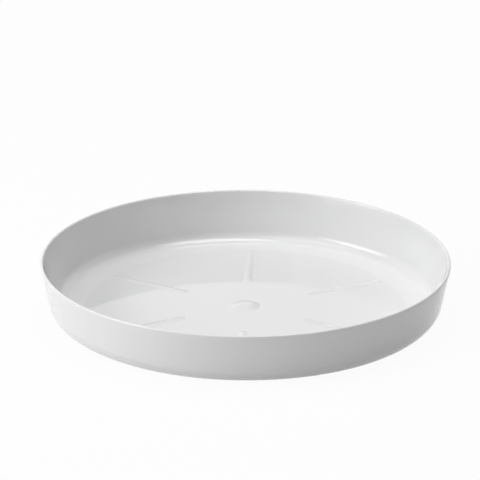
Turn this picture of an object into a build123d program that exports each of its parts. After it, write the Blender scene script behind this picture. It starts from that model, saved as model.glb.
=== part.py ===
from build123d import *

import os
from math import asin, cos, radians, sin, sqrt, tan

# Round plastic plant saucer: a drafted dish with a crowned floor, radial drainage ribs and a gate boss.
# Millimetres, +Z up, origin at the middle of the standing face.

# Dish
rim_radius = 140.0
height = 37.3
wall = 2.2
wall_draft = 11.6
corner_radius = 13.0
inner_corner_radius = 9.0
standing_ring_width = 11.0
floor_crown = 1.2
crown_share = 0.8

# Shallow recess round the moulding gate, under the floor
gate_radius = 6.0
gate_depth = 0.7

# Drainage ribs
rib_count = 6
rib_first_angle = 90.0
rib_length = 63.0
rib_end_gap = 1.6
rib_inner_width = 6.0
rib_outer_width = 4.4
rib_height = 0.8
rib_tip_height = 0.2
rib_edge_radius = 1.8

# Boss in the middle of the floor
boss_base_radius = 10.0
boss_top_radius = 3.4
boss_height = 1.6
boss_edge_radius = 8.0

# The rim is a full round of the wall's thickness. Both faces of the leaning wall run down from its sides.
lean = tan(radians(wall_draft))
rim_round = wall / 2
rim_centre = Vector(rim_radius - rim_round, height - rim_round)
across_wall = Vector(cos(radians(wall_draft)), -sin(radians(wall_draft)))
rim_top = rim_centre + Vector(sin(radians(wall_draft)), cos(radians(wall_draft))) * rim_round
rim_outside = rim_centre + across_wall * rim_round
rim_inside = rim_centre - across_wall * rim_round
foot_radius = rim_outside.X - rim_outside.Y * lean
inner_foot_radius = rim_inside.X - (rim_inside.Y - wall) * lean

# The flat standing ring lies between the crowned middle and the start of the corner's curve.
corner_start_radius = foot_radius - corner_radius * tan(radians((90 - wall_draft) / 2))
crown_radius = corner_start_radius - standing_ring_width

# The ribs end just short of the crown's edge.
rib_outer_radius = crown_radius - rib_end_gap
rib_inner_radius = rib_outer_radius - rib_length


def floor_rise(radius):
    """Height of the crown above the standing ring, at a radius inside it."""
    spread = (crown_radius**2 + floor_crown**2) / (2 * floor_crown)
    middle = spread * crown_share
    edge = spread - middle
    if radius < crown_radius * crown_share:
        return floor_crown - middle + sqrt(middle**2 - radius**2)
    return edge - sqrt(edge**2 - (crown_radius - radius) ** 2)


def crown_line(level):
    """Draw the crown at a level: a wide arc, then a tangent reversed arc that runs out flat."""
    top = (0, level + floor_crown)
    join = (crown_radius * crown_share, level + floor_crown * (1 - crown_share))
    rim = (crown_radius, level)
    TangentArc(top, join, tangent=(1, 0))
    TangentArc(rim, join, tangent=(-1, 0))


# Everything below the floor's upper face, used to seat the ribs on it
with BuildPart() as below_floor:
    with BuildSketch(Plane.XZ):
        with BuildLine():
            crown_line(wall)
            Polyline((crown_radius, wall), (corner_start_radius, wall), (corner_start_radius, 0), (0, 0))
            Line((0, 0), (0, wall + floor_crown))
        make_face()
    revolve(axis=Axis.Z)

with BuildPart() as dish:
    with BuildSketch(Plane.XZ) as section:
        with BuildLine():
            crown_line(0)
            Polyline((crown_radius, 0), (foot_radius, 0), rim_outside)
            ThreePointArc(rim_outside, rim_top, rim_inside)
            Polyline(rim_inside, (inner_foot_radius, wall), (crown_radius, wall))
            crown_line(wall)
            Line((0, wall + floor_crown), (0, floor_crown))
        make_face()
        fillet(section.vertices().sort_by_distance((foot_radius, 0))[0], corner_radius)
        fillet(section.vertices().sort_by_distance((inner_foot_radius, wall))[0], inner_corner_radius)
    revolve(axis=Axis.Z)
    with BuildSketch():
        Circle(gate_radius)
    extrude(amount=floor_crown + gate_depth, mode=Mode.SUBTRACT)


def make_rib(angle):
    """A rib along one radius, with round ends, that grows narrower and lower outwards."""
    outward = (cos(radians(angle)), sin(radians(angle)), 0)
    sideways = (outward[1], -outward[0], 0)
    inner_top = wall + floor_rise(rib_inner_radius) + rib_height
    outer_top = wall + floor_rise(rib_outer_radius) + rib_tip_height
    inner_round = rib_inner_width / 2
    outer_round = rib_outer_width / 2
    inner_centre = Vector(rib_inner_radius + inner_round, 0)
    outer_centre = Vector(rib_outer_radius - outer_round, 0)
    taper = asin((inner_round - outer_round) / (outer_centre.X - inner_centre.X))
    left = Vector(sin(taper), cos(taper))
    right = Vector(sin(taper), -cos(taper))
    with BuildPart() as rib:
        with BuildSketch(Plane(origin=(0, 0, 0), x_dir=outward, z_dir=(0, 0, 1))):
            with BuildLine():
                Line(inner_centre + left * inner_round, outer_centre + left * outer_round)
                ThreePointArc(
                    outer_centre + left * outer_round,
                    (rib_outer_radius, 0),
                    outer_centre + right * outer_round,
                )
                Line(outer_centre + right * outer_round, inner_centre + right * inner_round)
                ThreePointArc(
                    inner_centre + right * inner_round,
                    (rib_inner_radius, 0),
                    inner_centre + left * inner_round,
                )
            make_face()
        extrude(amount=inner_top)
        with BuildSketch(Plane(origin=(0, 0, 0), x_dir=outward, z_dir=sideways)):
            with BuildLine():
                Polyline(
                    (rib_inner_radius, 0),
                    (rib_outer_radius, 0),
                    (rib_outer_radius, outer_top),
                    (rib_inner_radius, inner_top),
                    close=True,
                )
            make_face()
        extrude(amount=rib_inner_width, both=True, mode=Mode.INTERSECT)
        fillet(rib.faces().sort_by(Axis.Z)[-1].edges(), rib_edge_radius)
        add(below_floor.part, mode=Mode.SUBTRACT)
    return rib.part


with BuildPart() as centre_boss:
    boss_seat = wall + floor_crown
    boss_foot = wall + floor_rise(boss_base_radius)
    boss_top = boss_seat + boss_height
    with BuildSketch(Plane.XZ) as boss_section:
        with BuildLine():
            TangentArc((0, boss_seat), (boss_base_radius, boss_foot), tangent=(1, 0))
            Line((boss_base_radius, boss_foot), (boss_top_radius, boss_top))
            Polyline((boss_top_radius, boss_top), (0, boss_top), (0, boss_seat))
        make_face()
        fillet(boss_section.vertices().sort_by_distance((boss_top_radius, boss_top))[0], boss_edge_radius)
    revolve(axis=Axis.Z)

os.makedirs("parts", exist_ok=True)

dish.part.label = "dish"
export_step(dish.part, "parts/dish.step")

centre_boss.part.label = "centre_boss"
export_step(centre_boss.part, "parts/centre_boss.step")

for number in range(rib_count):
    rib_part = make_rib(rib_first_angle + number * 360 / rib_count)
    rib_part.label = f"rib_{number + 1}"
    export_step(rib_part, f"parts/{rib_part.label}.step")
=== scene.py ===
from math import cos, pi, radians, sin, sqrt, tan

import bmesh
import bpy
from mathutils import Matrix, Vector


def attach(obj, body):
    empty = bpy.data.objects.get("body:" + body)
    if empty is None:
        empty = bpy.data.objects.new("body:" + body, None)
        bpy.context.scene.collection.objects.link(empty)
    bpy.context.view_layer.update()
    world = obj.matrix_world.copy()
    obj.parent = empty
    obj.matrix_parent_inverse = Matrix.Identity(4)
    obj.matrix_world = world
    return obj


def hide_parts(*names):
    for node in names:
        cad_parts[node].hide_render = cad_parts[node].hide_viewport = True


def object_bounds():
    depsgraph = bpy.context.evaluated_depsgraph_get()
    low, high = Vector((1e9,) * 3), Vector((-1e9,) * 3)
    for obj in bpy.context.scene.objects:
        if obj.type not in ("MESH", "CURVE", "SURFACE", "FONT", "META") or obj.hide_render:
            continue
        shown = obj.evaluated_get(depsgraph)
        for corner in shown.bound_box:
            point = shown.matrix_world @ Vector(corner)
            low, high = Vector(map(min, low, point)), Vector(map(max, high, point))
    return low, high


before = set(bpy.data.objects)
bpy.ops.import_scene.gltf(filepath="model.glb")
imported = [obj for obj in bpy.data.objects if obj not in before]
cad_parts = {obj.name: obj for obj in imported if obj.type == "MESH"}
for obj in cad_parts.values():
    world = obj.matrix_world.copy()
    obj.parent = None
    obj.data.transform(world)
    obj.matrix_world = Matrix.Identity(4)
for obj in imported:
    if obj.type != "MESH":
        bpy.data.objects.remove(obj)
cad_low, cad_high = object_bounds()

# Sizes of the saucer, in metres and degrees, as in the CAD model
rim_radius = cad_high.x
height = cad_high.z
wall = 0.0022
wall_draft = 11.6
corner_radius = 0.0130
inner_corner_radius = 0.0090
standing_ring_width = 0.011
floor_crown = 0.0012
crown_share = 0.8
gate_radius = 0.006
gate_depth = 0.0007
rib_count = 6
rib_first_angle = 90.0
rib_length = 0.0630
rib_end_gap = 0.0016
rib_inner_width = 0.0060
rib_outer_width = 0.0044
rib_height = 0.0008
rib_tip_height = 0.0002
boss_base_radius = 0.010
boss_top_radius = 0.0034
boss_height = 0.0016

# Small roundings of the moulding, finer than in the CAD model
root_fillet = 0.0004
gate_edge_round = 0.0003
top_round_share = 0.35
foot_round_share = 0.12

# Depth of the ribs and the boss inside the floor, and of their visible edges below its face
hidden_depth = 0.0006
seam_sink = 0.00002

# White plastic, faintly uneven in colour and gloss
plastic_darker = (0.767, 0.770, 0.769, 1)
plastic_lighter = (0.787, 0.790, 0.790, 1)
plastic_ior = 1.49
least_roughness = 0.015
most_roughness = 0.035
unevenness_scale = 18
unevenness_detail = 4

# Painted light: a paler ring on the flat ring of the floor, between the crowned middle and the corner,
# standing in for lamp light that the inner wall reflects onto it
painted_light_colour = (0.805, 0.808, 0.807, 1)
painted_light_inner_radius = 0.1110
painted_light_edge = 0.0014

# Mesh density
turn_steps = 384
floor_steps = 48
corner_steps = 28
wall_steps = 10
rim_steps = 14
rib_steps = 44
rib_end_steps = 12
rib_side_steps = 12
boss_steps = 16
gate_steps = 5
merge_distance = 1e-7

# Camera
view_azimuth = 2.0
view_elevation = 21.33
view_roll = 0.22
view_distance = 20 * rim_radius
image_size = 480
rim_radius_pixels = 204.8
middle_pixel = (245.6, 285.0)

# Even light of the studio
ambient_strength = 0.2

# What the plastic mirrors: a white backdrop with a darker ceiling above it, and a dark room in front
backdrop_full_elevation = 27.0
backdrop_end_elevation = 40.0
ceiling_strength = 0.3
room_start = 0.2
room_full = 0.6
room_strength = 0.1

# Studio floor, with the share of plain white that the camera and reflections see in it
floor_size = 12
floor_gap = 0.0002
floor_paint = (0.75, 0.75, 0.75, 1)
floor_white_share = 0.95

# Softboxes at one distance: name, azimuth, elevation, width, depth and power in watts
lamp_distance = 2.0
softboxes = (
    ("key_side", -72, 27, 1.6, 0.7, 12.2),
    ("key_small", -75, 30, 0.8, 0.5, 4.5),
    ("key_front", -35, 25, 1.2, 0.8, 1.5),
    ("key_grazing", -63, 10, 1.2, 0.6, 3.5),
    ("key_high", -65, 62, 1.6, 1.2, 10.6),
    ("over_back", 140, 78, 1.0, 0.8, 13.2),
    ("back_right", 160, 50, 1.2, 0.9, 2.9),
)

# Heights and radii that follow from the sizes above
lean = tan(radians(wall_draft))
rim_round = wall / 2
rim_centre = Vector((rim_radius - rim_round, height - rim_round))
across_wall = Vector((cos(radians(wall_draft)), -sin(radians(wall_draft))))
rim_outside = rim_centre + across_wall * rim_round
rim_inside = rim_centre - across_wall * rim_round
foot_radius = rim_outside.x - rim_outside.y * lean
inner_foot_radius = rim_inside.x - (rim_inside.y - wall) * lean
corner_setback = tan(radians((90 - wall_draft) / 2))
corner_start_radius = foot_radius - corner_radius * corner_setback
inner_start_radius = inner_foot_radius - inner_corner_radius * corner_setback
crown_radius = corner_start_radius - standing_ring_width
rib_outer_radius = crown_radius - rib_end_gap
rib_inner_radius = rib_outer_radius - rib_length


def floor_rise(radius):
    """Height of the crown above the standing ring: a wide arc, then a reversed arc that runs out flat."""
    spread = (crown_radius**2 + floor_crown**2) / (2 * floor_crown)
    middle = spread * crown_share
    edge = spread - middle
    if radius >= crown_radius:
        return 0.0
    if radius < crown_radius * crown_share:
        return floor_crown - middle + sqrt(middle**2 - radius**2)
    return edge - sqrt(edge**2 - (crown_radius - radius) ** 2)


def floor_top(radius):
    """Height of the floor's upper face."""
    return wall + floor_rise(radius)


def arc(centre, radius, start, end, steps):
    """Points on an arc, in degrees from the outward direction, both ends included."""
    turns = [radians(start + (end - start) * k / steps) for k in range(steps + 1)]
    return [(centre[0] + radius * cos(t), centre[1] + radius * sin(t)) for t in turns]


def dish_outline():
    """Outline of the dish's section, from the axis over the floor, up and over the wall and back below."""
    floor = [crown_radius * k / floor_steps for k in range(floor_steps + 1)]
    corner_centre = (corner_start_radius, corner_radius)
    inner_centre = (inner_start_radius, wall + inner_corner_radius)
    inside = [(r, floor_top(r)) for r in floor]
    inside += arc(inner_centre, inner_corner_radius, -90, -wall_draft, corner_steps)
    rim = arc(rim_centre, rim_round, 180 - wall_draft, -wall_draft, rim_steps)
    outside = arc(corner_centre, corner_radius, -wall_draft, -90, corner_steps)
    climb = [mixed(inside[-1], rim[0], k / wall_steps) for k in range(1, wall_steps)]
    descent = [mixed(rim[-1], outside[0], k / wall_steps) for k in range(1, wall_steps)]
    below = [(r, floor_rise(r)) for r in reversed(floor) if r > gate_radius + gate_edge_round]
    recess = gate_outline()
    return inside + climb + rim + descent + outside + below + recess


def mixed(a, b, share):
    """The point at a share of the way from a to b."""
    return tuple(p + (q - p) * share for p, q in zip(a, b))


def gate_outline():
    """Shallow recess under the middle of the floor, with rounded edges, from its rim to the axis."""
    roof = floor_crown + gate_depth
    edge = gate_edge_round
    mouth = arc((gate_radius + edge, floor_crown + edge), edge, 270, 180, gate_steps)
    inner = arc((gate_radius - edge, roof - edge), edge, 0, 90, gate_steps)
    return mouth + inner + [(gate_radius / 2, roof), (0, roof)]


def new_piece(name, bm, material):
    """Turn a bmesh into a smooth piece that rides on the saucer's body."""
    bmesh.ops.remove_doubles(bm, verts=bm.verts, dist=merge_distance)
    bmesh.ops.recalc_face_normals(bm, faces=bm.faces)
    mesh = bpy.data.meshes.new(name)
    bm.to_mesh(mesh)
    bm.free()
    mesh.shade_smooth()
    mesh.materials.append(material)
    piece = bpy.data.objects.new(name, mesh)
    bpy.context.scene.collection.objects.link(piece)
    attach(piece, "root")
    return piece


def revolved(outline):
    """A closed body of revolution from an outline whose ends lie on the axis."""
    bm = bmesh.new()
    rings = []
    for radius, z in outline:
        if radius < merge_distance:
            rings.append([bm.verts.new((0, 0, z))] * turn_steps)
            continue
        turns = [2 * pi * k / turn_steps for k in range(turn_steps)]
        rings.append([bm.verts.new((radius * cos(t), radius * sin(t), z)) for t in turns])
    for ring, next_ring in zip(rings, rings[1:]):
        for k in range(turn_steps):
            after = (k + 1) % turn_steps
            corners = [ring[k], ring[after], next_ring[after], next_ring[k]]
            bm.faces.new(list(dict.fromkeys(corners)))
    return bm


def slope(share):
    """Height of a sloping side, from 1 at its top to 0 at its foot, rounded above and hollow below."""
    steepness = 1 / (1 - top_round_share / 2 - foot_round_share / 2)
    if share < top_round_share:
        return 1 - steepness * share**2 / (2 * top_round_share)
    if share > 1 - foot_round_share:
        return steepness * (1 - share) ** 2 / (2 * foot_round_share)
    return steepness * (1 - foot_round_share / 2 - share)


def boss_outline():
    """Outline of the boss's section, from the axis over its top and side and back inside the floor."""
    reach = boss_base_radius + root_fillet - boss_top_radius
    top = wall + floor_crown + boss_height
    outline = [(0, top), (boss_top_radius / 2, top)]
    for k in range(boss_steps + 1):
        radius = boss_top_radius + reach * k / boss_steps
        foot = floor_top(radius) - seam_sink
        outline.append((radius, foot + (top - foot) * slope(k / boss_steps)))
    hidden = floor_top(outline[-1][0]) - hidden_depth
    return outline + [(outline[-1][0], hidden), (0, hidden)]


def rib_mesh(angle):
    """A rib along one radius, with sloping sides and round ends, that grows narrower and lower outwards."""
    first, last = rib_inner_radius + rib_inner_width / 2, rib_outer_radius - rib_outer_width / 2
    inner_end = (rib_inner_width / 2 + root_fillet, rib_height)
    outer_end = (rib_outer_width / 2 + root_fillet, rib_tip_height)
    stations = [first + (last - first) * k / rib_steps for k in range(rib_steps + 1)]
    loop = [(u, 0, 1) for u in stations]
    turns = [pi * k / rib_end_steps for k in range(1, rib_end_steps)]
    loop += [(last, sin(t), cos(t)) for t in turns]
    loop += [(u, 0, -1) for u in reversed(stations)]
    loop += [(first, -sin(t), -cos(t)) for t in turns]
    along = Vector((cos(radians(angle)), sin(radians(angle))))
    across = Vector((-along.y, along.x))
    bm = bmesh.new()

    def ring(share, lift):
        """One loop round the rib's middle line, at a share of its reach."""
        verts = []
        for u, forward, aside in loop:
            reach, tall = mixed(inner_end, outer_end, (u - first) / (last - first))
            place = along * (u + forward * share * reach) + across * (aside * share * reach)
            z = floor_top(place.length) + lift(tall)
            verts.append(bm.verts.new((place.x, place.y, z)))
        return verts

    rings = []
    for k in range(rib_side_steps + 1):
        share = k / rib_side_steps
        rings.append(ring(share, lambda tall: (tall + seam_sink) * slope(share) - seam_sink))
    rings.append(ring(1, lambda tall: -hidden_depth))
    rings.append(ring(0, lambda tall: -hidden_depth))
    count = len(loop)
    for here, after in zip(rings, rings[1:]):
        for k in range(count):
            bm.faces.new((here[k], here[(k + 1) % count], after[(k + 1) % count], after[k]))
    return bm


def plastic_material():
    """Glossy white moulded plastic: faint unevenness in colour and gloss, and painted light as a paler ring
    on the floor, for light the inner wall reflects onto it.
    """
    material = bpy.data.materials.new("white_plastic")
    material.use_nodes = True
    nodes, links = material.node_tree.nodes, material.node_tree.links
    shader = nodes["Principled BSDF"]
    shader.inputs["IOR"].default_value = plastic_ior
    place = nodes.new("ShaderNodeTexCoord")

    cloud = nodes.new("ShaderNodeTexNoise")
    cloud.inputs["Scale"].default_value = unevenness_scale
    cloud.inputs["Detail"].default_value = unevenness_detail
    links.new(place.outputs["Object"], cloud.inputs["Vector"])
    tint = nodes.new("ShaderNodeMix")
    tint.data_type = "RGBA"
    tint.inputs["A"].default_value = plastic_darker
    tint.inputs["B"].default_value = plastic_lighter
    links.new(cloud.outputs["Fac"], tint.inputs["Factor"])

    gloss = nodes.new("ShaderNodeMapRange")
    gloss.inputs["To Min"].default_value = least_roughness
    gloss.inputs["To Max"].default_value = most_roughness
    links.new(cloud.outputs["Fac"], gloss.inputs["Value"])
    links.new(gloss.outputs["Result"], shader.inputs["Roughness"])

    parts = nodes.new("ShaderNodeSeparateXYZ")
    links.new(place.outputs["Object"], parts.inputs["Vector"])
    flat = nodes.new("ShaderNodeCombineXYZ")
    links.new(parts.outputs["X"], flat.inputs["X"])
    links.new(parts.outputs["Y"], flat.inputs["Y"])
    radius = nodes.new("ShaderNodeVectorMath")
    radius.operation = "LENGTH"
    links.new(flat.outputs["Vector"], radius.inputs[0])
    begun = eased(nodes, links, radius.outputs["Value"], painted_light_inner_radius, painted_light_edge)
    corner_width = inner_foot_radius - inner_start_radius
    ended = eased(nodes, links, radius.outputs["Value"], inner_start_radius, -corner_width)
    above = eased(nodes, links, parts.outputs["Z"], wall, wall - floor_crown)
    painted_light_band = combined(nodes, links, "MULTIPLY", begun, ended)
    ring = combined(nodes, links, "MULTIPLY", painted_light_band, above)
    # Painted light: the floor's outer ring is made paler, standing in for lamp light reflected onto it by
    # the inner wall
    painted_light_tint = nodes.new("ShaderNodeMix")
    painted_light_tint.data_type = "RGBA"
    painted_light_tint.inputs["B"].default_value = painted_light_colour
    links.new(ring, painted_light_tint.inputs["Factor"])
    links.new(tint.outputs["Result"], painted_light_tint.inputs["A"])
    links.new(painted_light_tint.outputs["Result"], shader.inputs["Base Color"])
    return material


def eased(nodes, links, value, full, width):
    """A share that rises from 0 to 1 over a width and is full at a value. A negative width makes it fall."""
    node = nodes.new("ShaderNodeMapRange")
    node.interpolation_type = "SMOOTHSTEP"
    node.inputs["From Min"].default_value = full - width
    node.inputs["From Max"].default_value = full
    links.new(value, node.inputs["Value"])
    return node.outputs["Result"]


def combined(nodes, links, operation, first, second):
    """Two values put together by a math node."""
    node = nodes.new("ShaderNodeMath")
    node.operation = operation
    links.new(first, node.inputs[0])
    links.new(second, node.inputs[1])
    return node.outputs["Value"]


def mirrored_ray(nodes, links, path):
    """A value that is 1 for rays that a surface mirrored or let through, and 0 for others."""
    glossy, clear = path.outputs["Is Glossy Ray"], path.outputs["Is Transmission Ray"]
    return combined(nodes, links, "MAXIMUM", glossy, clear)


def stage_material():
    """Pale floor that the camera and reflections see as white, and that keeps the saucer's shadow."""
    material = bpy.data.materials.new("pale_floor")
    material.use_nodes = True
    nodes, links = material.node_tree.nodes, material.node_tree.links
    nodes.remove(nodes["Principled BSDF"])
    path = nodes.new("ShaderNodeLightPath")
    mirrored = mirrored_ray(nodes, links, path)
    seen = combined(nodes, links, "MAXIMUM", path.outputs["Is Camera Ray"], mirrored)
    share = nodes.new("ShaderNodeMath")
    share.operation = "MULTIPLY"
    share.inputs[1].default_value = floor_white_share
    links.new(seen, share.inputs[0])
    paint = nodes.new("ShaderNodeBsdfDiffuse")
    paint.inputs["Color"].default_value = floor_paint
    glow = nodes.new("ShaderNodeEmission")
    glow.inputs["Color"].default_value = (1, 1, 1, 1)
    mix = nodes.new("ShaderNodeMixShader")
    links.new(share.outputs["Value"], mix.inputs["Fac"])
    links.new(paint.outputs["BSDF"], mix.inputs[1])
    links.new(glow.outputs["Emission"], mix.inputs[2])
    links.new(mix.outputs["Shader"], nodes["Material Output"].inputs["Surface"])
    return material


def make_world():
    """A studio, white for the camera. Reflections show a backdrop, a ceiling and a room in front."""
    world = bpy.data.worlds.new("studio")
    bpy.context.scene.world = world
    world.use_nodes = True
    nodes, links = world.node_tree.nodes, world.node_tree.links
    background = nodes["Background"]
    background.inputs["Color"].default_value = (1, 1, 1, 1)
    path = nodes.new("ShaderNodeLightPath")
    mirrored = mirrored_ray(nodes, links, path)

    direction = nodes.new("ShaderNodeTexCoord")
    parts = nodes.new("ShaderNodeSeparateXYZ")
    links.new(direction.outputs["Generated"], parts.inputs["Vector"])
    backdrop = nodes.new("ShaderNodeMapRange")
    backdrop.interpolation_type = "SMOOTHSTEP"
    backdrop.inputs["From Min"].default_value = sin(radians(backdrop_full_elevation))
    backdrop.inputs["From Max"].default_value = sin(radians(backdrop_end_elevation))
    backdrop.inputs["To Min"].default_value = 1.0
    backdrop.inputs["To Max"].default_value = ceiling_strength
    links.new(parts.outputs["Z"], backdrop.inputs["Value"])

    in_front = eased(nodes, links, parts.outputs["Y"], -room_full, room_start - room_full)
    all_round = nodes.new("ShaderNodeMix")
    all_round.inputs["B"].default_value = room_strength
    links.new(in_front, all_round.inputs["Factor"])
    links.new(backdrop.outputs["Result"], all_round.inputs["A"])

    surroundings = nodes.new("ShaderNodeMix")
    surroundings.inputs["A"].default_value = ambient_strength
    links.new(mirrored, surroundings.inputs["Factor"])
    links.new(all_round.outputs["Result"], surroundings.inputs["B"])
    level = nodes.new("ShaderNodeMix")
    level.inputs["B"].default_value = 1.0
    links.new(path.outputs["Is Camera Ray"], level.inputs["Factor"])
    links.new(surroundings.outputs["Result"], level.inputs["A"])
    links.new(level.outputs["Result"], background.inputs["Strength"])


def add_softbox(name, azimuth, elevation, width, depth, power):
    """An area lamp on a sphere round the saucer, facing it. Azimuth 0 is the camera's side, 90 the right."""
    a, e = radians(azimuth + view_azimuth), radians(elevation)
    towards = Vector((sin(a) * cos(e), -cos(a) * cos(e), sin(e)))
    lamp = bpy.data.lights.new(name, "AREA")
    lamp.shape = "RECTANGLE"
    lamp.size = width
    lamp.size_y = depth
    lamp.energy = power
    box = bpy.data.objects.new(name, lamp)
    box.location = towards * lamp_distance
    box.rotation_euler = towards.to_track_quat("Z", "Y").to_euler()
    bpy.context.scene.collection.objects.link(box)


def add_camera():
    """A long lens at the photograph's height, aimed so that the saucer sits as it does in its frame."""
    a, e = radians(view_azimuth), radians(view_elevation)
    back = Vector((sin(a) * cos(e), -cos(a) * cos(e), sin(e)))
    turn = (-back).to_track_quat("-Z", "Y").to_matrix()
    right, up = turn.col[0], turn.col[1]
    middle = Vector((0, 0, height / 2))
    place = middle + back * view_distance
    pixel = rim_radius / rim_radius_pixels
    aim = middle - right * (middle_pixel[0] - image_size / 2) * pixel
    aim += up * (middle_pixel[1] - image_size / 2) * pixel
    data = bpy.data.cameras.new("camera")
    data.sensor_width = 36.0
    data.lens = data.sensor_width * rim_radius_pixels * view_distance / rim_radius / image_size
    data.clip_end = 50
    camera = bpy.data.objects.new("camera", data)
    camera.location = place
    look = (aim - place).to_track_quat("-Z", "Y").to_matrix().to_4x4()
    camera.rotation_euler = (look @ Matrix.Rotation(radians(view_roll), 4, "Z")).to_euler()
    bpy.context.scene.collection.objects.link(camera)
    bpy.context.scene.camera = camera


plastic = plastic_material()
dish = new_piece("saucer_dish", revolved(dish_outline()), plastic)
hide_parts("dish")
boss = new_piece("gate_boss", revolved(boss_outline()), plastic)
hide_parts("centre_boss")
for number in range(rib_count):
    rib_angle = rib_first_angle + number * 360 / rib_count
    rib = new_piece(f"drainage_rib_{number + 1}", rib_mesh(rib_angle), plastic)
    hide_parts(f"rib_{number + 1}")

bpy.ops.mesh.primitive_plane_add(size=floor_size, location=(0, 0, -floor_gap))
floor = bpy.context.object
floor.name = "studio_floor"
floor.data.materials.append(stage_material())

make_world()
for softbox in softboxes:
    add_softbox(*softbox)
add_camera()

bpy.context.scene.view_settings.view_transform = "Standard"
